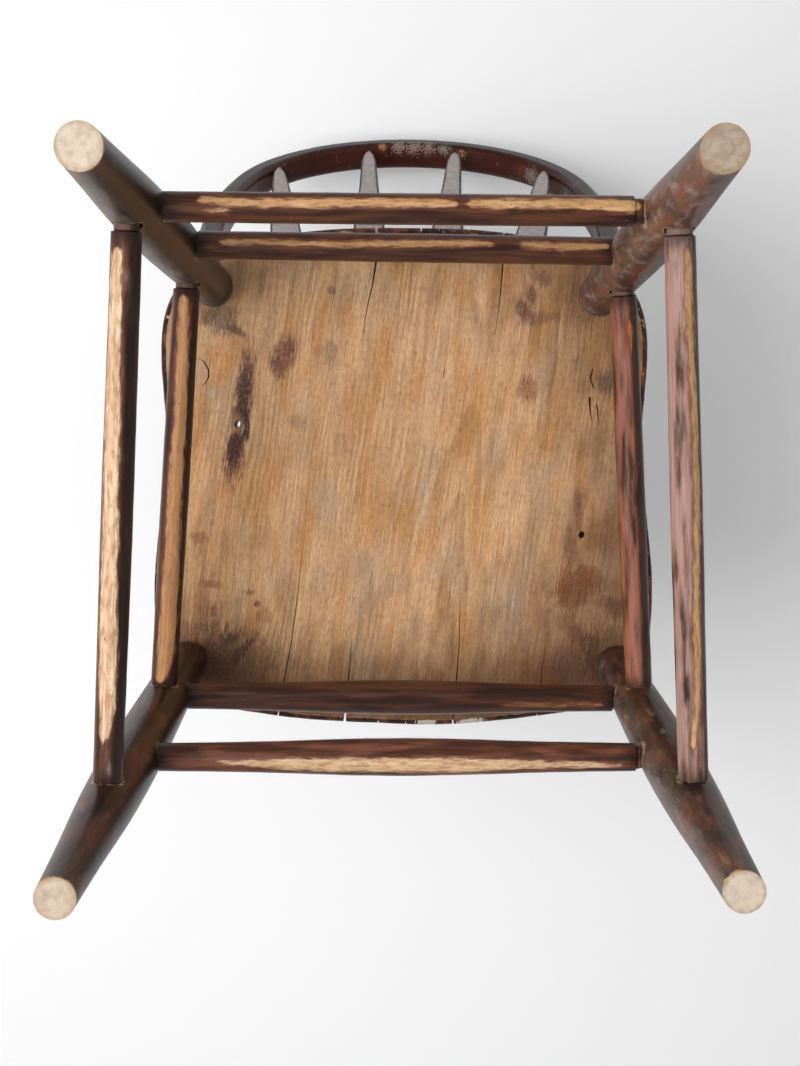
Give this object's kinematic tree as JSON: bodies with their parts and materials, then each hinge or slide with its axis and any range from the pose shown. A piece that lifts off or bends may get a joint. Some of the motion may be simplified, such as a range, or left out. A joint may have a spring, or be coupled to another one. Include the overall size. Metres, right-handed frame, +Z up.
{
  "type": "plank seat side chair",
  "caption": "Plank-seat side chair with splayed turned legs, box stretchers all round and a bent bow back with flattened fanned spindles.",
  "frame": {"origin": "on the floor, at the middle of the chair's bounding box", "axes": "+Z up, -Y the way the sitter faces, +X the sitter's left"},
  "size_m": [0.4551, 0.5788, 0.868],
  "materials": {
    "seat_pine": "bare aged pine below, dark worn paint above",
    "leg_varnish": "dark brown varnish, worn and dusty",
    "stretcher_varnish": "dark brown varnish, worn through to bare wood",
    "back_paint": "dark paint with faded ornament",
    "hidden_maple": "bare split wood, hidden",
    "iron_brad": "rusty iron wire"
  },
  "bodies": {
    "root": {"seat_plank": "seat_pine", "front_left_leg": "leg_varnish", "front_right_leg": "leg_varnish", "rear_left_leg": "leg_varnish", "rear_right_leg": "leg_varnish", "front_lower_stretcher": "stretcher_varnish", "front_upper_stretcher": "stretcher_varnish", "rear_lower_stretcher": "stretcher_varnish", "rear_upper_stretcher": "stretcher_varnish", "left_lower_stretcher": "stretcher_varnish", "left_upper_stretcher": "stretcher_varnish", "right_lower_stretcher": "stretcher_varnish", "right_upper_stretcher": "stretcher_varnish", "bow": "back_paint", "outer_left_spindle": "back_paint", "inner_left_spindle": "back_paint", "inner_right_spindle": "back_paint", "outer_right_spindle": "back_paint", "leg_wedges": "hidden_maple", "bow_wedges": "hidden_maple", "spindle_brads": "iron_brad"}
  },
  "joints": []
}
